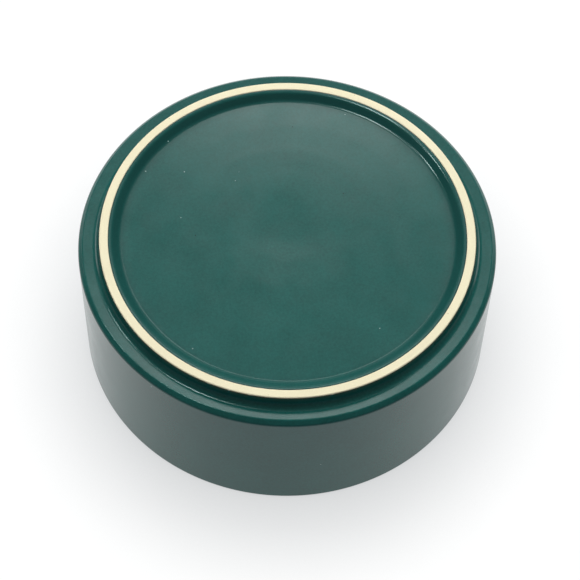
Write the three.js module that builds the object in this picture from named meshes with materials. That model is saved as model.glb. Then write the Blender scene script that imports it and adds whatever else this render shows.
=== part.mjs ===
// A low round stoneware ink pot, turned upside down so that it stands on its rim, with its inset lid
// under it. Millimetres, +Z up. The origin is the centre of the rim's plane, on the table.
//
// Two fired clay pieces, each with its glaze coats as thin solids of their own:
//   pot: pot_body, outer_glaze, well_glaze, base_glaze
//   lid: lid_body, lid_face_glaze, lid_inner_glaze
//
// Every piece is a solid of revolution. A profile is a list of (radius, height) points, and a coat
// follows the clay's own points on one side, so a coat and its clay meet face to face.
import * as THREE from "three";

// Driving dimensions
const DIAMETER = 120; // over the glazed wall
const HEIGHT = 48; // from the rim to the foot ring's land
const GLAZE = 0.3; // thickness of a glaze coat
const WALL = 5.3; // clay between the outside and the well
const SEGMENTS = 40; // flats round each solid of revolution

// Outside of the pot
const WALL_RADIUS = DIAMETER / 2 - GLAZE; // clay under the wall's glaze
const SHOULDER_HEIGHT = 44.12; // clay at the shoulder's outer crest
const SHOULDER_ROUND = 1.5; // radius of the edge between shoulder and wall
const SHOULDER_DIP = 0.3; // how far the shoulder falls towards the foot
const LIP_ROUND = 0.8; // radius of the rim's outer edge
const LIP_GLAZED = 30; // degrees of that round which the glaze covers, from the wall down
const LIP_BARE = 60; // degrees down the round where the bare clay's next point lies

// Foot ring and the base inside it
const FOOT_OUTER = 53.7;
const FOOT_INNER = 51.2;
const FOOT_ROUND = 0.35; // radius of the land's two edges
const FOOT_TAPER = 0.25; // how far the foot's outside leans out on its way down
const FOOT_BARE = 0.15; // bare clay between the land's outer round and the glaze
const FOOT_FILLET = 2.1; // concave radius between foot and shoulder
const FOOT_FILLET_TURN = 88; // degrees that the fillet turns through
const BASE_DEPTH = 1.6; // from the land down to the glazed base
const BASE_COVE = 3.6; // width of the slope between land and base
const BASE_BARE = 0.1; // bare clay between the land's inner round and the glaze

// Well and lid gallery
const WELL_RADIUS = WALL_RADIUS - WALL;
const WELL_FLOOR = 41.2; // clay at the well's floor, which is its roof while upturned
const WELL_ROUND = 5; // concave radius round the well's floor
const GALLERY_RADIUS = 57; // step in the rim where the lid seats
const GALLERY_DEPTH = 4.4;
const GALLERY_CHAMFER = 0.4; // edge between the rim and the gallery
const WELL_BARE = 0.6; // bare clay between the gallery's ledge and the well's glaze

// Lid
const LID_GAP = 0.4; // clearance between the lid's flange and the gallery
const LID_RADIUS = GALLERY_RADIUS - LID_GAP;
const FLANGE = GALLERY_DEPTH - LID_GAP; // thickness of the flange
const RING_CLEAR = 0.5; // clearance between the locating ring and the glazed well
const RING_OUTER = WELL_RADIUS - GLAZE - RING_CLEAR; // locating ring that drops into the well
const RING_WIDTH = 3;
const RING_INNER = RING_OUTER - RING_WIDTH;
const RING_HEIGHT = 8;
const RING_LEAD = 0.8; // chamfer that guides the ring into the well
const RING_CHAMFER = 0.4; // chamfer on the ring's inner edge
const RING_FOOT = 0.6; // how far the inner face's glaze stays from the ring and the flange
const RING_STEP = 1; // bare clay up the ring's inside
const FLANGE_CHAMFER = 0.4;
const RIM_BAND = 2.4; // width of the lid's bare flat rim, which the table touches
const RIM_CHAMFER = 0.5; // outer edge of that rim
const RIM_STEP = 0.5; // from that rim in to the clay under the face's glaze
const RIM_SLOPE = 0.6; // width of that step
const SAUCER_DEPTH = 8; // how far the lid's middle sinks below its rim
const SAUCER_FLAT = 24; // radius of the saucer's level middle
const SAUCER_ROUND_OVER = 1; // how much wider that middle is on the inner face
const LID_THICKNESS = 3.6;
const KNOB_RADIUS = 8.5;
const KNOB_NECK = 6.5;
const KNOB_FILLET = 1.5; // concave radius between the neck and the saucer
const KNOB_ROUND = 1.6; // radius of the knob's edge
const KNOB_UNDERCUT = 20; // degrees that the knob's edge turns in under itself
const KNOB_CLEAR = 1.2; // how far the knob stops short of the rim's plane

// Colours
const CLAY = { color: 0xe9dfbd, roughness: 0.85, metalness: 0 };
const GREEN_GLAZE = { color: 0x24534d, roughness: 0.12, metalness: 0 };

// Points on an arc about (r, z), from one angle to another, in degrees.
function arc(r, z, radius, from, to, steps) {
  const points = [];
  for (let i = 0; i <= steps; i += 1) {
    const angle = THREE.MathUtils.degToRad(from + ((to - from) * i) / steps);
    points.push([r + radius * Math.cos(angle), z + radius * Math.sin(angle)]);
  }
  return points;
}

// An S-shaped slope between two points, level at both ends.
function slope([r0, z0], [r1, z1], steps) {
  const points = [];
  for (let i = 0; i <= steps; i += 1) {
    const t = i / steps;
    const eased = (1 - Math.cos(Math.PI * t)) / 2;
    points.push([r0 + (r1 - r0) * t, z0 + (z1 - z0) * eased]);
  }
  return points;
}

// A hollow curve that leaves its first point level and steepens towards its last.
function cove([r0, z0], [r1, z1], steps) {
  const points = [];
  for (let i = 0; i <= steps; i += 1) {
    const t = i / steps;
    points.push([r0 + (r1 - r0) * t, z0 + (z1 - z0) * (1 - Math.cos((Math.PI * t) / 2))]);
  }
  return points;
}

// The path moved sideways by a distance, to the left of the way it runs.
function offset(path, distance) {
  const normals = path.slice(1).map(([r, z], i) => {
    const dr = r - path[i][0];
    const dz = z - path[i][1];
    const length = Math.hypot(dr, dz);
    return [-dz / length, dr / length];
  });
  return path.map(([r, z], i) => {
    const before = normals[Math.max(i - 1, 0)];
    const after = normals[Math.min(i, normals.length - 1)];
    const share = distance / (1 + before[0] * after[0] + before[1] * after[1]);
    return [r + (before[0] + after[0]) * share, z + (before[1] + after[1]) * share];
  });
}

// Twice the area that a profile encloses, positive when it runs anticlockwise.
function doubleArea(profile) {
  return profile.reduce((sum, [r, z], i) => {
    const [nextR, nextZ] = profile[(i + 1) % profile.length];
    return sum + r * nextZ - nextR * z;
  }, 0);
}

// A mesh turned from a profile, which is closed or starts and ends on the axis.
function turned(name, profile, material) {
  const outward = doubleArea(profile) > 0 ? profile : [...profile].reverse();
  const points = outward.map(([r, z]) => new THREE.Vector2(r, z));
  const geometry = new THREE.LatheGeometry(points, SEGMENTS);
  geometry.rotateX(Math.PI / 2);
  const mesh = new THREE.Mesh(geometry, new THREE.MeshStandardMaterial(material));
  mesh.name = name;
  return mesh;
}

// A glaze coat on the left of a path, which may have one end on the axis.
function coat(name, path) {
  const skin = offset(path, GLAZE);
  path.forEach(([r], i) => {
    if (r === 0) skin[i][0] = 0;
  });
  const section = [...path, ...skin.reverse()];
  const startsOnAxis = path[0][0] === 0;
  const endsOnAxis = path[path.length - 1][0] === 0;
  if (startsOnAxis) return turned(name, section, GREEN_GLAZE);
  if (endsOnAxis) {
    const inside = [...path].reverse();
    return turned(name, [...inside, ...skin.reverse()], GREEN_GLAZE);
  }
  return turned(name, [...section, section[0]], GREEN_GLAZE);
}

// The clay's outside as far as the glaze goes, from the foot's outer edge down to the lip.
function outsidePath() {
  const crest = WALL_RADIUS - SHOULDER_ROUND;
  const floor = SHOULDER_HEIGHT - SHOULDER_DIP;
  const footAtFillet = FOOT_OUTER + FOOT_TAPER;
  return [
    [FOOT_OUTER, HEIGHT - FOOT_ROUND - FOOT_BARE],
    ...arc(footAtFillet + FOOT_FILLET, floor + FOOT_FILLET, FOOT_FILLET, 180, 180 + FOOT_FILLET_TURN, 3),
    ...arc(crest, SHOULDER_HEIGHT - SHOULDER_ROUND, SHOULDER_ROUND, 90, 0, 3),
    ...arc(WALL_RADIUS - LIP_ROUND, LIP_ROUND, LIP_ROUND, 0, -LIP_GLAZED, 1),
  ];
}

// The clay of the recessed base, from the axis out to the foot's inner edge.
function basePath() {
  const floor = HEIGHT - BASE_DEPTH - GLAZE;
  const edge = [FOOT_INNER, HEIGHT - FOOT_ROUND - BASE_BARE];
  return [[0, floor], ...cove([FOOT_INNER - BASE_COVE, floor], edge, 4)];
}

// The clay of the well, from the gallery's ledge up the wall and in to the axis.
function wellPath() {
  const round = arc(WELL_RADIUS - WELL_ROUND, WELL_FLOOR - WELL_ROUND, WELL_ROUND, 0, 90, 3);
  return [[WELL_RADIUS, GALLERY_DEPTH + WELL_BARE], ...round, [0, WELL_FLOOR]];
}

function makePotBody() {
  const land = HEIGHT - FOOT_ROUND;
  const profile = [
    ...basePath(),
    ...arc(FOOT_INNER + FOOT_ROUND, land, FOOT_ROUND, 180, 90, 1),
    ...arc(FOOT_OUTER - FOOT_ROUND, land, FOOT_ROUND, 90, 0, 1),
    ...outsidePath(),
    ...arc(WALL_RADIUS - LIP_ROUND, LIP_ROUND, LIP_ROUND, -LIP_BARE, -90, 1),
    [GALLERY_RADIUS + GALLERY_CHAMFER, 0],
    [GALLERY_RADIUS, GALLERY_CHAMFER],
    [GALLERY_RADIUS, GALLERY_DEPTH],
    [WELL_RADIUS, GALLERY_DEPTH],
    ...wellPath(),
  ];
  return turned("pot_body", profile, CLAY);
}

// The lid's outer face, from its bare rim over the saucer and round the knob to the axis.
function lidFacePath() {
  const saucerEdge = [LID_RADIUS - RIM_BAND - RIM_SLOPE, RIM_STEP];
  return [
    ...slope(saucerEdge, [SAUCER_FLAT, SAUCER_DEPTH], 4),
    ...arc(KNOB_NECK + KNOB_FILLET, SAUCER_DEPTH - KNOB_FILLET, KNOB_FILLET, 90, 180, 2),
    ...arc(KNOB_RADIUS - KNOB_ROUND, KNOB_CLEAR + KNOB_ROUND, KNOB_ROUND, KNOB_UNDERCUT, -90, 3),
    [0, KNOB_CLEAR],
  ];
}

// The lid's inner face, from the axis out to the foot of the locating ring.
function lidInnerPath() {
  const middle = SAUCER_DEPTH + LID_THICKNESS;
  const middleEdge = [SAUCER_FLAT + SAUCER_ROUND_OVER, middle];
  return [[0, middle], ...slope(middleEdge, [RING_INNER - RING_FOOT, FLANGE + RING_FOOT], 4)];
}

function makeLidBody() {
  const profile = [
    ...lidInnerPath(),
    [RING_INNER, FLANGE + RING_STEP],
    [RING_INNER, RING_HEIGHT - RING_CHAMFER],
    [RING_INNER + RING_CHAMFER, RING_HEIGHT],
    [RING_OUTER - RING_LEAD, RING_HEIGHT],
    [RING_OUTER, RING_HEIGHT - RING_LEAD],
    [RING_OUTER, FLANGE],
    [LID_RADIUS - FLANGE_CHAMFER, FLANGE],
    [LID_RADIUS, FLANGE - FLANGE_CHAMFER],
    [LID_RADIUS, RIM_CHAMFER],
    [LID_RADIUS - RIM_CHAMFER, 0],
    [LID_RADIUS - RIM_BAND, 0],
    ...lidFacePath(),
  ];
  return turned("lid_body", profile, CLAY);
}

const pot = new THREE.Group();
pot.add(
  makePotBody(),
  coat("outer_glaze", outsidePath()),
  coat("well_glaze", wellPath()),
  coat("base_glaze", basePath()),
);

const lid = new THREE.Group();
lid.add(
  makeLidBody(),
  coat("lid_face_glaze", lidFacePath()),
  coat("lid_inner_glaze", lidInnerPath()),
);

const inkwell = new THREE.Group();
inkwell.add(pot, lid);

export default inkwell;
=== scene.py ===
"""A low round stoneware ink pot in dark green glaze, upturned on its rim, with its inset lid under it."""
import math

import bmesh
import bpy
from mathutils import Matrix, Vector, noise


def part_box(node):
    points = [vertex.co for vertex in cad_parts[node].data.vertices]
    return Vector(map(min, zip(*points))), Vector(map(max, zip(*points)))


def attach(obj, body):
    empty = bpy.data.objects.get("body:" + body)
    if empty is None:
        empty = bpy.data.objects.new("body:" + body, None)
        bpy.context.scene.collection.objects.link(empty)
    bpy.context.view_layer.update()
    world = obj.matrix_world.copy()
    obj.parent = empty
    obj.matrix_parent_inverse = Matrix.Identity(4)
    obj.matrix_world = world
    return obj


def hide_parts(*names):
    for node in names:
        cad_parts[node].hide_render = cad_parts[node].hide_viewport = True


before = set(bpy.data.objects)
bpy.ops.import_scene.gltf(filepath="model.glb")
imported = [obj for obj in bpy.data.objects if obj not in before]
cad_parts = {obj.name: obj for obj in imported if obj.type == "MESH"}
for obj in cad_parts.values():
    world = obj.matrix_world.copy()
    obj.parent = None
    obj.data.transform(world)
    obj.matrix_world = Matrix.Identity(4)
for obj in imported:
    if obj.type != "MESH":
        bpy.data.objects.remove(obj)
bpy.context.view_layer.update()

MM = 0.001
TURN_STEPS = 592  # sections round the pieces whose glaze edges wander
PLAIN_STEPS = 288  # sections round the others
SECTORS = 8  # the equal sectors that a full turn is made from
ROUND_STEPS = 8  # rows in each rounding
HOLD = 0.08  # millimetres from a row to the close row that keeps the stretch beside it flat
STRETCH = 0.6  # the shortest stretch, in millimetres, that gets those rows
SAME_PLACE = 1e-6  # metres: points closer than this are one point

# Sizes read from the frame, in millimetres


def reach(node):
    """How far a turned node reaches from the axis."""
    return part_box(node)[1][0] / MM


def top(node):
    """The height of a node's highest point."""
    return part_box(node)[1][2] / MM


HEIGHT = top("pot_body")
WALL = reach("outer_glaze")
COAT = reach("outer_glaze") - reach("pot_body")
CLAY_WALL = reach("pot_body")
FOOT_INNER = reach("base_glaze")
WELL_CLAY = reach("well_glaze")
WELL_ROOF = top("well_glaze")
LID_EDGE = reach("lid_body")

# Sizes of the foot ring and the base inside it, in millimetres
FOOT_LAND = 2.5
FOOT_OUTER = FOOT_INNER + FOOT_LAND
FOOT_LEAN = 0.2  # how far the clay of the foot's outside leans out
FOOT_ROOT_ROUND = 1.5
LAND_BACK = 0.05  # from the foot's inner side out to the land's inner edge
LAND_SIDE = 0.4  # height of the foot's inner side
LAND_INNER_ROUND = 0.22
LAND_OUTER_ROUND = 0.28
BASE_DEPTH = 1.6
COVE_WIDTH = 3.15
COVE_CREST = 0.85  # from the foot ring in to the cove's crest
CREST_DROP = 0.14  # from the land down to it
COVE_ROUND = 0.6

# Sizes of the shoulder, the rim and the well, in millimetres
SHOULDER = 44.12  # the glazed shoulder beside the foot
SHOULDER_CREST = 44.42
SHOULDER_RUN = 1.3  # from the crest out to the wall
SHOULDER_FALL = 1.2  # from the crest down to the wall
SHOULDER_ROUND = 0.5
CREST_ROUND = 0.25
CLAY_SHOULDER_ROUND = 2.0
RIM_ROUND = 0.8
GALLERY = 57.0
GALLERY_DEPTH = 4.4
GALLERY_ROUND = 0.4
LEDGE_ROUND = 0.3
WELL_ROUND = 5.0

# Sizes of the lid, in millimetres
FLANGE = 4.0
FLANGE_ROUND = 0.5
RIM_BAND = 2.4
RIM_BAND_ROUND = 0.6
RING_INNER = 50.6
RING_OUTER = 53.6
RING_TOP = 8.0
RING_ROOT = 1.0  # from the flange's plane to the root of the ring's inside
RING_ROOT_ROUND = 0.3
RING_INNER_ROUND = 0.5
RING_OUTER_ROUND = 0.8
SAUCER_EDGE = 0.5  # height of the saucer's edge
SAUCER_EDGE_RUN = 1.2  # from the rim band in to it
SAUCER_FLAT = 24.0
SAUCER_SPREAD = 3.0  # from that flat out to where its slope would meet it
SAUCER_DEPTH = 8.0
SAUCER_ROUND = 5.0
LID_THICKNESS = 3.6
INNER_SPREAD = 4.0  # the same on the inner face
INNER_EDGE = 0.9  # from the flange's plane to the inner face's edge
INNER_EDGE_RUN = 1.5  # from the ring in to it
EDGE_ROUND = 1.0  # of both faces' edges
KNOB = 8.5
KNOB_NECK = 6.5
KNOB_NECK_ROUND = 1.4
KNOB_CLEAR = 1.2  # height of the knob's face, clear of the table
KNOB_WAIST = 2.2  # from the knob's face to its widest place
KNOB_WAIST_ROUND = 0.8
KNOB_TAPER = 0.4
KNOB_ROUND = 1.3


# Turning


def outline(bm, corners, spacing):
    """A chain of edges through (radius, height, rounding) corners, rounded and cut into short rows."""
    points = [bm.verts.new((radius * MM, 0, height * MM)) for radius, height, _ in corners]
    for first, second in zip(points, points[1:]):
        bm.edges.new((first, second))
    for point, (_, _, rounding) in zip(points, corners):
        if rounding:
            bmesh.ops.bevel(bm, geom=[point], offset=rounding * MM, offset_type="OFFSET",
                            segments=ROUND_STEPS, profile=0.5, affect="VERTICES", material=-1)
    for edge in list(bm.edges):
        if edge.calc_length() > STRETCH * MM:
            for end in edge.verts[:]:
                bmesh.utils.edge_split(edge, end, HOLD * MM / edge.calc_length())
    for edge in list(bm.edges):
        cuts = int(edge.calc_length() / (spacing * MM))
        if cuts:
            bmesh.ops.subdivide_edges(bm, edges=[edge], cuts=cuts)


def turn(bm, steps):
    """The outline spun through one sector and repeated round the axis, closed, with its faces out."""
    sector = math.tau / SECTORS
    bmesh.ops.spin(bm, geom=bm.verts[:] + bm.edges[:], axis=(0, 0, 1), cent=(0, 0, 0),
                   dvec=(0, 0, 0), angle=sector, steps=steps // SECTORS, use_merge=False,
                   use_duplicate=False)
    first = bm.verts[:] + bm.edges[:] + bm.faces[:]
    for number in range(1, SECTORS):
        copy = bmesh.ops.duplicate(bm, geom=first)["geom"]
        points = [item for item in copy if isinstance(item, bmesh.types.BMVert)]
        turned = Matrix.Rotation(sector * number, 3, "Z")
        bmesh.ops.rotate(bm, cent=(0, 0, 0), matrix=turned, verts=points)
    bmesh.ops.remove_doubles(bm, verts=bm.verts[:], dist=SAME_PLACE)
    bmesh.ops.recalc_face_normals(bm, faces=bm.faces[:])


def finish_piece(bm, name, material, body, replaced):
    """The mesh as an object of the scene, riding on its body in place of its CAD node."""
    for face in bm.faces:
        face.smooth = True
    mesh = bpy.data.meshes.new(name)
    bm.to_mesh(mesh)
    bm.free()
    piece = bpy.data.objects.new(name, mesh)
    bpy.context.collection.objects.link(piece)
    mesh.materials.append(material)
    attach(piece, body)
    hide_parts(replaced)
    return piece


def polar(point):
    """A point's distance from the axis in millimetres, and its direction as a unit vector."""
    flat = Vector((point.x, point.y))
    if flat.length < SAME_PLACE:
        return 0.0, Vector((1, 0))
    return flat.length / MM, flat.normalized()


def wander(direction, wave, seed):
    """A smooth value from -1 to 1 that changes round the pot and closes on itself."""
    place = Vector((direction.x * wave, direction.y * wave, seed))
    return noise.noise(place)


STRAY = 0.05  # millimetres that a glaze edge wanders, slowly and finely
SLOW_WAVE = 2.3
FINE_WAVE = 19.0
FINE_SEED = 5.0  # added to an edge's own seed
BITE_WAVE = 46.0
BITE_SEED = 11.0
BITE_START = 0.34  # the strength of the noise past which a bite starts
BITE_DEPTH = 0.75  # millimetres for each unit of strength past that


def ragged(direction, seed):
    """How far a glaze edge strays, in millimetres: a slow wander, a fine one and a few small bites."""
    slow = STRAY * wander(direction, SLOW_WAVE, seed)
    fine = STRAY * wander(direction, FINE_WAVE, seed + FINE_SEED)
    strength = wander(direction, BITE_WAVE, seed + BITE_SEED)
    return slow + fine + max(0.0, strength - BITE_START) * BITE_DEPTH


def fade(distance, width):
    """One at an edge, falling smoothly to nothing at the given width."""
    t = min(max(distance / width, 0.0), 1.0)
    return 1 - t * t * (3 - 2 * t)


def skin_depth(bm):
    """Gives an open glaze surface its thickness, inwards, so that it closes."""
    bmesh.ops.solidify(bm, geom=bm.faces[:], thickness=COAT * MM)


def store(bm, name, amount):
    """Stores a value from 0 to 1 at every point for the materials to read."""
    layer = bm.verts.layers.float.new(name)
    for vert in bm.verts:
        vert[layer] = amount(vert.co)


# Materials


def node(tree, kind, settings=None, **inputs):
    """A node with its settings, and its inputs set or linked by name, or by number as i0 or i1."""
    made = tree.nodes.new(kind)
    for key, value in (settings or {}).items():
        setattr(made, key, value)
    for key, value in inputs.items():
        name = key.replace("_", " ")
        by_number = key[0] == "i" and key[1:].isdigit()
        socket = made.inputs[int(key[1:]) if by_number else name]
        if isinstance(value, bpy.types.NodeSocket):
            tree.links.new(value, socket)
        else:
            socket.default_value = value
    return made


def mix(tree, share, first, second):
    """The first colour with a share of the second laid over it, from the mix node's colour sockets."""
    mixed = node(tree, "ShaderNodeMix", {"data_type": "RGBA"}, Factor=share, i6=first, i7=second)
    return mixed.outputs[2]


def group(name, inputs, outputs):
    """An empty shader node group with named sockets."""
    tree = bpy.data.node_groups.new(name, "ShaderNodeTree")
    for label, kind, default in inputs:
        socket = tree.interface.new_socket(label, in_out="INPUT", socket_type=kind)
        socket.default_value = default
    for label, kind in outputs:
        tree.interface.new_socket(label, in_out="OUTPUT", socket_type=kind)
    return tree, tree.nodes.new("NodeGroupInput"), tree.nodes.new("NodeGroupOutput")


def scatter_group():
    """Rare small round marks: a mask of one inside each mark, at a chosen spacing, size and share."""
    tree, given, made = group(
        "scattered_marks",
        [("Spacing", "NodeSocketFloat", 400.0), ("Size", "NodeSocketFloat", 0.1),
         ("Share", "NodeSocketFloat", 0.1)],
        [("Mask", "NodeSocketFloat")],
    )
    place = node(tree, "ShaderNodeTexCoord").outputs["Object"]
    cells = node(tree, "ShaderNodeTexVoronoi", {"feature": "F1"}, Vector=place,
                 Scale=given.outputs["Spacing"])
    inside = node(tree, "ShaderNodeMath", {"operation": "LESS_THAN"},
                  i0=cells.outputs["Distance"], i1=given.outputs["Size"])
    pick = node(tree, "ShaderNodeSeparateColor", None, Color=cells.outputs["Color"])
    chosen = node(tree, "ShaderNodeMath", {"operation": "LESS_THAN"},
                  i0=pick.outputs["Red"], i1=given.outputs["Share"])
    mask = node(tree, "ShaderNodeMath", {"operation": "MULTIPLY"},
                i0=inside.outputs[0], i1=chosen.outputs[0])
    tree.links.new(mask.outputs[0], made.inputs["Mask"])
    return tree


GRAIN_SHARE = 0.65  # of the drift that is fine grain; the rest is soft patches
DRIFT_START = 0.3  # noise level of the first colour
DRIFT_END = 0.7  # noise level of the second


def drift_group():
    """Two colours that drift into each other in soft patches with a finer grain over them."""
    tree, given, made = group(
        "drifting_colour",
        [("First", "NodeSocketColor", (0, 0, 0, 1)), ("Second", "NodeSocketColor", (1, 1, 1, 1)),
         ("Patch", "NodeSocketFloat", 60.0), ("Grain", "NodeSocketFloat", 900.0)],
        [("Color", "NodeSocketColor"), ("Height", "NodeSocketFloat")],
    )
    place = node(tree, "ShaderNodeTexCoord").outputs["Object"]
    patch = node(tree, "ShaderNodeTexNoise", None, Vector=place, Scale=given.outputs["Patch"],
                 Detail=4.0, Roughness=0.55)
    grain = node(tree, "ShaderNodeTexNoise", None, Vector=place, Scale=given.outputs["Grain"],
                 Detail=3.0, Roughness=0.6)
    soft = node(tree, "ShaderNodeMath", {"operation": "MULTIPLY"},
                i0=patch.outputs["Fac"], i1=1 - GRAIN_SHARE)
    both = node(tree, "ShaderNodeMath", {"operation": "MULTIPLY_ADD"},
                i0=grain.outputs["Fac"], i1=GRAIN_SHARE, i2=soft.outputs[0])
    share = node(tree, "ShaderNodeMapRange", None, Value=both.outputs[0],
                 From_Min=DRIFT_START, From_Max=DRIFT_END)
    colour = mix(tree, share.outputs[0], given.outputs["First"], given.outputs["Second"])
    tree.links.new(colour, made.inputs["Color"])
    tree.links.new(grain.outputs["Fac"], made.inputs["Height"])
    return tree


scattered = scatter_group()
drifting = drift_group()


def new_material(name):
    """A material, its node tree and its Principled shader."""
    material = bpy.data.materials.new(name)
    material.use_nodes = True
    tree = material.node_tree
    return material, tree, tree.nodes["Principled BSDF"]


def marks(tree, spacing, size, share):
    """The mask of one scatter of marks."""
    placed = node(tree, "ShaderNodeGroup", {"node_tree": scattered}, Spacing=spacing, Size=size,
                  Share=share)
    return placed.outputs["Mask"]


GLAZE_DEEP = (0.005, 0.064, 0.055, 1)
GLAZE_PALE = (0.009, 0.098, 0.085, 1)
# painted shade, laid over the glaze in the base's cove
GLAZE_PAINTED_SHADE = (0.004, 0.038, 0.034, 1)
GLAZE_THIN = (0.075, 0.070, 0.034, 1)
PIT_COLOUR = (0.004, 0.012, 0.010, 1)
DUST_COLOUR = (0.24, 0.38, 0.36, 1)
PIT_DEPTH = -1.5  # against the height of the glaze's swell


def glaze_material():
    """Dark blue-green stoneware glaze: glossy, faintly mottled, brown where it thins over an edge,
    darkened by painted shade in the base's cove.
    """
    material, tree, shader = new_material("green_glaze")
    drift = node(tree, "ShaderNodeGroup", {"node_tree": drifting}, First=GLAZE_DEEP,
                 Second=GLAZE_PALE, Patch=90.0, Grain=1500.0)
    thin = node(tree, "ShaderNodeAttribute", {"attribute_name": "thin"}).outputs["Fac"]
    painted_shade = node(tree, "ShaderNodeAttribute", {"attribute_name": "painted_shade"}).outputs["Fac"]
    pits = marks(tree, spacing=260.0, size=0.045, share=0.15)
    dust = marks(tree, spacing=190.0, size=0.035, share=0.22)
    # painted shade in the base's cove
    colour = mix(tree, painted_shade, drift.outputs["Color"], GLAZE_PAINTED_SHADE)
    colour = mix(tree, thin, colour, GLAZE_THIN)
    colour = mix(tree, pits, colour, PIT_COLOUR)
    colour = mix(tree, dust, colour, DUST_COLOUR)
    tree.links.new(colour, shader.inputs["Base Color"])
    place = node(tree, "ShaderNodeTexCoord").outputs["Object"]
    sheen = node(tree, "ShaderNodeTexNoise", None, Vector=place, Scale=130.0, Detail=3.0)
    rough = node(tree, "ShaderNodeMapRange", None, Value=sheen.outputs["Fac"], From_Min=0.3,
                 From_Max=0.7, To_Min=0.14, To_Max=0.20)
    tree.links.new(rough.outputs[0], shader.inputs["Roughness"])
    swell = node(tree, "ShaderNodeTexNoise", None, Vector=place, Scale=420.0, Detail=2.0)
    sunk = node(tree, "ShaderNodeMath", {"operation": "MULTIPLY_ADD"}, i0=pits, i1=PIT_DEPTH,
                i2=swell.outputs["Fac"])
    bump = node(tree, "ShaderNodeBump", None, Height=sunk.outputs[0], Strength=0.5,
                Distance=0.00001)
    tree.links.new(bump.outputs["Normal"], shader.inputs["Normal"])
    shader.inputs["IOR"].default_value = 1.42
    return material


CLAY_DARK = (0.76, 0.70, 0.485, 1)
CLAY_LIGHT = (0.84, 0.785, 0.56, 1)
GRIT_COLOUR = (0.50, 0.42, 0.26, 1)


def clay_material():
    """Bare cream stoneware: matt, fine grained, with sparse darker grit."""
    material, tree, shader = new_material("cream_stoneware")
    drift = node(tree, "ShaderNodeGroup", {"node_tree": drifting}, First=CLAY_DARK,
                 Second=CLAY_LIGHT, Patch=160.0, Grain=2600.0)
    grit = marks(tree, spacing=750.0, size=0.12, share=0.05)
    colour = mix(tree, grit, drift.outputs["Color"], GRIT_COLOUR)
    tree.links.new(colour, shader.inputs["Base Color"])
    rough = node(tree, "ShaderNodeMapRange", None, Value=drift.outputs["Height"], To_Min=0.78,
                 To_Max=0.95)
    tree.links.new(rough.outputs[0], shader.inputs["Roughness"])
    bump = node(tree, "ShaderNodeBump", None, Height=drift.outputs["Height"], Strength=0.6,
                Distance=0.00005)
    tree.links.new(bump.outputs["Normal"], shader.inputs["Normal"])
    return material


TABLE_DARK = (0.125, 0.125, 0.125, 1)
TABLE_LIGHT = (0.135, 0.135, 0.135, 1)
GLOW_OPEN = (0.88, 0.885, 0.885, 1)
# painted contact shadow: the glow close to an object
GLOW_PAINTED_SHADOW = (0.42, 0.435, 0.45, 1)
GLOW_PAINTED_REFLECTION_FRONT = (0.05, 0.12, 0.20, 1)  # painted reflection: the glow far in front, dimmed where the pot mirrors it
SHADE_REACH = 0.033  # metres from an object within which the glow is darkened as painted shadow
FRONT_NEAR = -0.05  # metres along Y where the mirrored glow starts to fall
FRONT_FAR = -0.25  # and where it has fallen


def table_material():
    """A plain pale table top that glows evenly so its shadows stay light, with a painted contact shadow
    darkening the glow near objects and a painted reflection dimming it far in front where the pot mirrors
    it.
    """
    material, tree, shader = new_material("pale_table")
    drift = node(tree, "ShaderNodeGroup", {"node_tree": drifting}, First=TABLE_DARK,
                 Second=TABLE_LIGHT, Patch=4.0, Grain=60.0)
    tree.links.new(drift.outputs["Color"], shader.inputs["Base Color"])
    shader.inputs["Roughness"].default_value = 0.6
    shader.inputs["Specular IOR Level"].default_value = 0.1
    # painted contact shadow: the glow darkens near objects
    near = node(tree, "ShaderNodeAmbientOcclusion", {"samples": 8}, Distance=SHADE_REACH)
    glow = mix(tree, near.outputs["AO"], GLOW_PAINTED_SHADOW, GLOW_OPEN)
    place = node(tree, "ShaderNodeTexCoord").outputs["Object"]
    along = node(tree, "ShaderNodeSeparateXYZ", None, Vector=place)
    front = node(tree, "ShaderNodeMapRange", None, Value=along.outputs["Y"],
                 From_Min=FRONT_FAR, From_Max=FRONT_NEAR)
    # painted reflection: the glow as mirrored far in front is dimmed, not as seen straight on
    ray = node(tree, "ShaderNodeLightPath")
    full_glow_share = node(tree, "ShaderNodeMath", {"operation": "MAXIMUM"}, i0=front.outputs[0],
               i1=ray.outputs["Is Camera Ray"])
    glow = mix(tree, full_glow_share.outputs[0], GLOW_PAINTED_REFLECTION_FRONT, glow)
    tree.links.new(glow, shader.inputs["Emission Color"])
    shader.inputs["Emission Strength"].default_value = 1.0
    return material


GLAZE = glaze_material()
CLAY = clay_material()
TABLE = table_material()


# The pot

DIMPLE_DEPTH = 0.12  # of the small hollow at the base's centre, in millimetres
DIMPLE_RADIUS = 9.0
HOLLOW_DEPTH = 0.14  # of the wide hollow round it
HOLLOW_RADIUS = 16.0
RINGS_END = 40.0  # radius where the tool's rings start to die away
RINGS_FADE = 6.0
COARSE_RINGS = (0.0025, 0.62, 0.8)  # height, phase for each millimetre, phase at the centre
FINE_RINGS = (0.0012, 1.45, 0.0)
SETTLED_DEPTH = 0.08  # of the glaze that has settled in the cove's foot
SETTLED_SPREAD = 1.6


def tool_rings(radius, rings):
    """The height of one set of the throwing tool's rings."""
    height, phase, start = rings
    return height * math.cos(radius * phase + start)


def base_ripple(radius):
    """The faint rings and the dimple left by the throwing tool, as a height in millimetres."""
    dimple = -DIMPLE_DEPTH * math.exp(-(radius / DIMPLE_RADIUS) ** 2)
    hollow = -HOLLOW_DEPTH * math.exp(-(radius / HOLLOW_RADIUS) ** 2)
    rings = tool_rings(radius, COARSE_RINGS) + tool_rings(radius, FINE_RINGS)
    return dimple + hollow + rings * fade(max(radius - RINGS_END, 0.0), RINGS_FADE)


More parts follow.
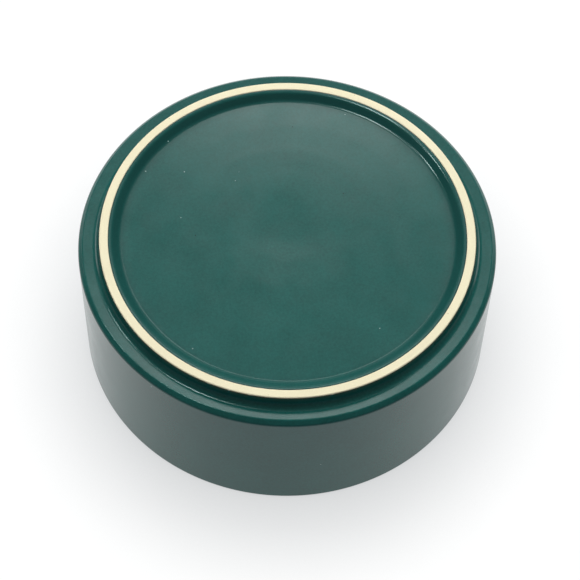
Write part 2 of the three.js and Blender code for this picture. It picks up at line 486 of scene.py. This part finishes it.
def cove_fillet(radius, direction):
    """How much glaze has settled in the cove's foot, in millimetres: most at the sides."""
    spread = math.exp(-((radius - FOOT_INNER + COVE_WIDTH) / SETTLED_SPREAD) ** 2)
    return SETTLED_DEPTH * spread * (1 - abs(direction.y))


def base_corners(sunk):
    """The recessed base from the axis, over its cove, to the soft crest beside the foot ring's land."""
    floor = HEIGHT - BASE_DEPTH - sunk
    return [
        (0, floor, 0),
        (FOOT_INNER - COVE_WIDTH, floor, COVE_ROUND),
        (FOOT_INNER - COVE_CREST, HEIGHT - CREST_DROP - sunk, COVE_ROUND),
    ]


def make_pot_body():
    """The thrown clay: foot ring, shoulder, wall, rim with its lid gallery, and well."""
    corners = base_corners(COAT) + [
        (FOOT_INNER, HEIGHT - LAND_SIDE, 0),
        (FOOT_INNER + LAND_BACK, HEIGHT, LAND_INNER_ROUND),
        (FOOT_OUTER, HEIGHT, LAND_OUTER_ROUND),
        (FOOT_OUTER + FOOT_LEAN, SHOULDER - COAT, FOOT_ROOT_ROUND),
        (CLAY_WALL, SHOULDER_CREST - COAT, CLAY_SHOULDER_ROUND),
        (CLAY_WALL, 0, RIM_ROUND),
        (GALLERY, 0, GALLERY_ROUND),
        (GALLERY, GALLERY_DEPTH, LEDGE_ROUND),
        (WELL_CLAY, GALLERY_DEPTH, GALLERY_ROUND),
        (WELL_CLAY, WELL_ROOF, WELL_ROUND),
        (0, WELL_ROOF, 0),
    ]
    bm = bmesh.new()
    outline(bm, corners, spacing=3.0)
    turn(bm, TURN_STEPS // 2)
    return finish_piece(bm, "pot_clay", CLAY, "pot", "pot_body")


EDGE_REACH = 0.7  # millimetres from a glaze edge within which it strays

OUTER_EDGE = 0.30  # from the land down to the outer glaze's edge, in millimetres
OUTER_EDGE_TUCK = 0.25  # how far that edge tucks in over the clay
OUTER_BEAD = 0.12  # rounding of the thick bead just below it, and how far it stands out
OUTER_BEAD_DROP = 0.32  # from the land down to the bead
OUTER_EDGE_SEED = 3.0
OUTER_EDGE_SET = 0.02  # how far the straying edge lies below the drawn one
OUTER_LEAN = 0.4  # how far the foot's glazed outside leans out
FILLET_RISE = 1.0  # from the shoulder up to the top of the fillet beside the foot
FILLET_TOP_ROUND = 0.8
FILLET_RUN = 1.75  # from the foot ring out to the end of that fillet
FILLET_SINK = 0.03  # from the shoulder down to it
FILLET_END_ROUND = 0.5
RIM_GLAZE_STOP = 0.22  # from the rim up to the lowest glaze
RIM_GLAZE_ROUND = 0.75
RIM_GLAZE_RUN = 1.0
RIM_GLAZE_RISE = 0.24
FOOT_THIN_WIDTH = 0.35  # over which the coat thickens below the bead
RIM_THIN = 0.5  # how thin it is at the rim, from 0 to 1
RIM_THIN_START = 0.3
RIM_THIN_WIDTH = 0.5


def thin_on_outer(place):
    """How thin the outer coat is: thinnest at the foot's edge, and less so at the rim's."""
    height = place.z / MM
    at_foot = fade(HEIGHT - OUTER_BEAD_DROP - height, FOOT_THIN_WIDTH)
    at_rim = RIM_THIN * fade(height - RIM_THIN_START, RIM_THIN_WIDTH)
    return max(at_foot, at_rim)


def make_outer_glaze():
    """The coat on the foot's outside, the shoulder and the wall."""
    corners = [
        (FOOT_OUTER - OUTER_EDGE_TUCK, HEIGHT - OUTER_EDGE, 0),
        (FOOT_OUTER + OUTER_BEAD, HEIGHT - OUTER_BEAD_DROP, OUTER_BEAD),
        (FOOT_OUTER + OUTER_LEAN, SHOULDER + FILLET_RISE, FILLET_TOP_ROUND),
        (FOOT_OUTER + FILLET_RUN, SHOULDER - FILLET_SINK, FILLET_END_ROUND),
        (WALL - SHOULDER_RUN, SHOULDER_CREST, CREST_ROUND),
        (WALL, SHOULDER_CREST - SHOULDER_FALL, SHOULDER_ROUND),
        (WALL, RIM_GLAZE_STOP, RIM_GLAZE_ROUND),
        (WALL - RIM_GLAZE_RUN, RIM_GLAZE_RISE, 0),
    ]
    bm = bmesh.new()
    outline(bm, corners, spacing=2.4)
    turn(bm, TURN_STEPS)
    for vert in bm.verts:
        near = fade(HEIGHT - OUTER_EDGE - vert.co.z / MM, EDGE_REACH)
        if near:
            direction = polar(vert.co)[1]
            vert.co.z -= near * (ragged(direction, OUTER_EDGE_SEED) + OUTER_EDGE_SET) * MM
    store(bm, "thin", thin_on_outer)
    skin_depth(bm)
    return finish_piece(bm, "outer_glaze_coat", GLAZE, "pot", "outer_glaze")


BASE_EDGE = 0.28  # from the land down to the base glaze's edge, in millimetres
BASE_EDGE_TUCK = 0.1
BASE_LIP = 0.13  # from the land down to the bend just inside that edge
BASE_LIP_ROUND = 0.1
BASE_EDGE_SEED = 8.0
BASE_EDGE_SHARE = 0.6  # of the usual straying
COVE_SHADE = 0.65  # how strongly painted shade darkens the cove, from 0 to 1, at the sides
COVE_SHADE_MORE_BACK = 0.15  # added towards the back
COVE_SHADE_LESS_FRONT = 0.5  # taken away towards the front
COVE_SHADE_INSIDE = 2.0  # millimetres in from the foot ring, where the painted shade starts to fade inwards
COVE_SHADE_INSIDE_WIDTH = 4.2
COVE_SHADE_OUTSIDE = 1.6  # where it starts to fade outwards
COVE_SHADE_OUTSIDE_WIDTH = 1.2
COVE_SHADE_SHALLOW = 0.35  # what is left of it there
EDGE_SHADE_START = 0.05
EDGE_SHADE_WIDTH = 0.3


def painted_shade_on_base(place):
    """Painted shade round the base: it darkens the cove, most at its back and least at its front, and
    lies as a thin dark line along the glaze's very edge.
    """
    radius, direction = polar(place)
    lean = COVE_SHADE_MORE_BACK if direction.y > 0 else COVE_SHADE_LESS_FRONT
    shade_amount = COVE_SHADE + lean * direction.y
    full_shade = fade(radius - FOOT_INNER + COVE_SHADE_OUTSIDE, COVE_SHADE_OUTSIDE_WIDTH)
    shade_across = fade(FOOT_INNER - COVE_SHADE_INSIDE - radius, COVE_SHADE_INSIDE_WIDTH)
    shade_across *= COVE_SHADE_SHALLOW + (1 - COVE_SHADE_SHALLOW) * full_shade
    return max(shade_amount * shade_across, fade(FOOT_INNER - EDGE_SHADE_START - radius, EDGE_SHADE_WIDTH))


def make_base_glaze():
    """The coat on the recessed base, over the cove to the foot ring's inner edge."""
    corners = base_corners(0) + [
        (FOOT_INNER, HEIGHT - BASE_LIP, BASE_LIP_ROUND),
        (FOOT_INNER + BASE_EDGE_TUCK, HEIGHT - BASE_EDGE, 0),
    ]
    bm = bmesh.new()
    outline(bm, corners, spacing=0.8)
    turn(bm, TURN_STEPS // 2)
    for vert in bm.verts:
        radius, direction = polar(vert.co)
        vert.co.z += (base_ripple(radius) + cove_fillet(radius, direction)) * MM
        near = fade(FOOT_INNER - radius, EDGE_REACH)
        if near:
            vert.co.z -= near * abs(ragged(direction, BASE_EDGE_SEED)) * BASE_EDGE_SHARE * MM
    # painted shade in the cove and along the glaze's edge
    store(bm, "painted_shade", painted_shade_on_base)
    skin_depth(bm)
    return finish_piece(bm, "base_glaze_coat", GLAZE, "pot", "base_glaze")


WELL_EDGE = 0.7  # from the gallery's ledge to the well glaze's edge, in millimetres
WELL_EDGE_TUCK = 0.1
WELL_BEND = 0.9  # from the ledge to the bend just past that edge
WELL_BEND_ROUND = 0.15
WELL_THIN_WIDTH = 0.5  # over which the coat thickens past the bend


def make_well_glaze():
    """The coat that lines the well."""
    inside = WELL_CLAY - COAT
    corners = [
        (WELL_CLAY + WELL_EDGE_TUCK, GALLERY_DEPTH + WELL_EDGE, 0),
        (inside, GALLERY_DEPTH + WELL_BEND, WELL_BEND_ROUND),
        (inside, WELL_ROOF - COAT, WELL_ROUND - COAT),
        (0, WELL_ROOF - COAT, 0),
    ]
    bm = bmesh.new()
    outline(bm, corners, spacing=1.2)
    turn(bm, PLAIN_STEPS)
    bend = GALLERY_DEPTH + WELL_BEND
    store(bm, "thin", lambda place: fade(place.z / MM - bend, WELL_THIN_WIDTH))
    for face in bm.faces:
        face.normal_flip()
    skin_depth(bm)
    return finish_piece(bm, "well_glaze_coat", GLAZE, "pot", "well_glaze")


# The lid


def lid_face_corners(lift):
    """The lid's outer face from its rim to the axis: the saucer and the sunken knob."""
    return [
        (LID_EDGE - RIM_BAND - SAUCER_EDGE_RUN, SAUCER_EDGE - lift, EDGE_ROUND),
        (SAUCER_FLAT + SAUCER_SPREAD, SAUCER_DEPTH - lift, SAUCER_ROUND),
        (KNOB_NECK + lift, SAUCER_DEPTH - lift, KNOB_NECK_ROUND),
        (KNOB + lift, KNOB_CLEAR + KNOB_WAIST, KNOB_WAIST_ROUND),
        (KNOB + lift - KNOB_TAPER, KNOB_CLEAR - lift, KNOB_ROUND),
        (0, KNOB_CLEAR - lift, 0),
    ]


def lid_inner_corners(lift):
    """The lid's inner face from the axis to the foot of the locating ring."""
    middle = SAUCER_DEPTH + LID_THICKNESS + lift
    return [
        (0, middle, 0),
        (SAUCER_FLAT + INNER_SPREAD, middle, SAUCER_ROUND),
        (RING_INNER - INNER_EDGE_RUN, FLANGE + INNER_EDGE + lift, EDGE_ROUND),
    ]


def make_lid_body():
    """The lid's clay: flange, locating ring, saucer and knob."""
    corners = lid_inner_corners(0) + [
        (RING_INNER, FLANGE + RING_ROOT, RING_ROOT_ROUND),
        (RING_INNER, RING_TOP, RING_INNER_ROUND),
        (RING_OUTER, RING_TOP, RING_OUTER_ROUND),
        (RING_OUTER, FLANGE, RING_ROOT_ROUND),
        (LID_EDGE, FLANGE, FLANGE_ROUND),
        (LID_EDGE, 0, RIM_BAND_ROUND),
        (LID_EDGE - RIM_BAND, 0, RING_ROOT_ROUND),
    ] + lid_face_corners(0)
    bm = bmesh.new()
    outline(bm, corners, spacing=2.0)
    turn(bm, PLAIN_STEPS)
    return finish_piece(bm, "lid_clay", CLAY, "lid", "lid_body")


FACE_EDGE = 0.5  # from the rim band in to the face glaze's edge, in millimetres
FACE_EDGE_HEIGHT = 0.45
FACE_THIN = 0.6  # from the rim band in, and the width over which the coat thickens
INNER_GLAZE_EDGE = 0.7  # from the ring in to the inner glaze's edge
INNER_THIN = 0.8  # from the ring in, and the width over which the coat thickens


def make_lid_face_glaze():
    """The coat on the lid's outer face."""
    edge = LID_EDGE - RIM_BAND
    bm = bmesh.new()
    outline(bm, [(edge - FACE_EDGE, FACE_EDGE_HEIGHT, 0)] + lid_face_corners(COAT), spacing=1.2)
    turn(bm, PLAIN_STEPS)
    store(bm, "thin", lambda place: fade(edge - FACE_THIN - polar(place)[0], FACE_THIN))
    skin_depth(bm)
    return finish_piece(bm, "lid_face_glaze_coat", GLAZE, "lid", "lid_face_glaze")


def make_lid_inner_glaze():
    """The coat on the lid's inner face, over the ink."""
    edge = (RING_INNER - INNER_GLAZE_EDGE, FLANGE + INNER_EDGE, 0)
    bm = bmesh.new()
    outline(bm, lid_inner_corners(COAT) + [edge], spacing=1.2)
    turn(bm, PLAIN_STEPS)
    store(bm, "thin", lambda place: fade(RING_INNER - INNER_THIN - polar(place)[0], INNER_THIN))
    skin_depth(bm)
    return finish_piece(bm, "lid_inner_glaze_coat", GLAZE, "lid", "lid_inner_glaze")


make_pot_body()
make_outer_glaze()
make_base_glaze()
make_well_glaze()
make_lid_body()
make_lid_face_glaze()
make_lid_inner_glaze()


# The table, the light and the camera

TABLE_HALF = 4.0  # metres from the table's middle to its edges
TABLE_DROP = 0.02  # millimetres from the rim down to the table
LAMP_COLOUR = (0.78, 1.0, 0.97)


def make_table():
    """A wide flat table top just under the rim."""
    bm = bmesh.new()
    bmesh.ops.create_grid(bm, x_segments=8, y_segments=8, size=TABLE_HALF)
    bmesh.ops.translate(bm, vec=(0, 0, -TABLE_DROP * MM), verts=bm.verts[:])
    mesh = bpy.data.meshes.new("table_top")
    bm.to_mesh(mesh)
    bm.free()
    table = bpy.data.objects.new("table_top", mesh)
    bpy.context.collection.objects.link(table)
    mesh.materials.append(TABLE)


def softbox(name, azimuth, elevation, distance, width, height, radiance):
    """A flat panel of light that faces the pot. Azimuth 0 is behind the pot, 90 on its right."""
    data = bpy.data.lights.new(name, "AREA")
    data.shape = "RECTANGLE"
    data.size = width
    data.size_y = height
    data.energy = radiance * math.pi * width * height
    lamp = bpy.data.objects.new(name, data)
    bpy.context.collection.objects.link(lamp)
    around = math.radians(azimuth)
    up = math.radians(elevation)
    away = Vector((math.sin(around) * math.cos(up), math.cos(around) * math.cos(up), math.sin(up)))
    facing = away.to_track_quat("Z", "Y").to_matrix().to_4x4()
    lamp.matrix_world = Matrix.Translation(away * distance) @ facing
    return lamp


def glint_lamp(name, azimuth, elevation, radiance):
    """A small ceiling lamp that the glaze mirrors as a glint, and that lights nothing up."""
    lamp = softbox(name, azimuth, elevation, distance=1.6, width=0.15, height=0.15, radiance=radiance)
    lamp.data.color = LAMP_COLOUR
    lamp.visible_diffuse = False


def make_lights():
    """What the glaze mirrors (panel, wall, boards and lamps), and a large key that it doesn't."""
    softbox("panel_behind", azimuth=1.5, elevation=50.8, distance=1.5, width=0.34, height=0.18,
            radiance=4.1)
    softbox("dim_wall_behind", azimuth=0, elevation=37, distance=1.9, width=1.5, height=2.1,
            radiance=0.42)
    for name, azimuth in (("board_left", -58), ("board_right", 58)):
        softbox(name, azimuth, elevation=12.5, distance=1.3, width=0.6, height=0.17, radiance=3.2)
    key = softbox("key_behind", azimuth=0, elevation=62, distance=1.6, width=1.2, height=1.0,
                  radiance=6.6)
    key.visible_glossy = False
    glint_lamp("lamp_overhead", azimuth=-38, elevation=74, radiance=48)
    glint_lamp("lamp_left", azimuth=-64, elevation=59, radiance=40)


BACKDROP_STRENGTH = 1.0  # the room as it is seen straight on
FILL_STRENGTH = 0.27  # as it lights matt things
MIRRORED_STRENGTH = 0.14  # as the glaze mirrors it


def make_sky():
    """An even pale room: plain behind, weaker as the soft fill, and dim where the glaze mirrors it."""
    world = bpy.data.worlds.new("room")
    bpy.context.scene.world = world
    world.use_nodes = True
    world.cycles.sampling_method = "NONE"
    tree = world.node_tree
    backdrop = tree.nodes["Background"]
    backdrop.inputs["Color"].default_value = (0.96, 0.97, 0.98, 1)
    backdrop.inputs["Strength"].default_value = BACKDROP_STRENGTH
    fill = node(tree, "ShaderNodeBackground", None, Color=(0.97, 0.985, 1.0, 1),
                Strength=FILL_STRENGTH)
    mirrored = node(tree, "ShaderNodeBackground", None, Color=(0.95, 0.98, 1.0, 1),
                    Strength=MIRRORED_STRENGTH)
    ray = node(tree, "ShaderNodeLightPath")
    seen = node(tree, "ShaderNodeMixShader", None, Fac=ray.outputs["Is Diffuse Ray"],
                i1=backdrop.outputs[0], i2=fill.outputs[0])
    both = node(tree, "ShaderNodeMixShader", None, Fac=ray.outputs["Is Glossy Ray"],
                i1=seen.outputs[0], i2=mirrored.outputs[0])
    tree.links.new(both.outputs[0], tree.nodes["World Output"].inputs["Surface"])


CAMERA_TILT = 58.12  # degrees that the camera looks down
CAMERA_ROLL = 1.70
CAMERA_DISTANCE = 635.8  # millimetres
AIM_RIGHT = 1.4  # where it aims, from the rim's centre, along its own two directions
AIM_UP = 9.0
LENS = 129.5


def make_camera():
    """A long lens that looks down on the pot from the front."""
    data = bpy.data.cameras.new("camera")
    data.lens = LENS
    data.sensor_width = 36
    data.dof.use_dof = False
    data.clip_end = 50
    camera = bpy.data.objects.new("camera", data)
    bpy.context.collection.objects.link(camera)
    tipped = Matrix.Rotation(math.pi / 2 - math.radians(CAMERA_TILT), 3, "X")
    turned = tipped @ Matrix.Rotation(math.radians(CAMERA_ROLL), 3, "Z")
    right, up, back = turned.col
    place = (right * AIM_RIGHT + up * AIM_UP + back * CAMERA_DISTANCE) * MM
    camera.matrix_world = Matrix.Translation(place) @ turned.to_4x4()
    bpy.context.scene.camera = camera


make_table()
make_lights()
make_sky()
make_camera()
bpy.context.scene.view_settings.view_transform = "Standard"
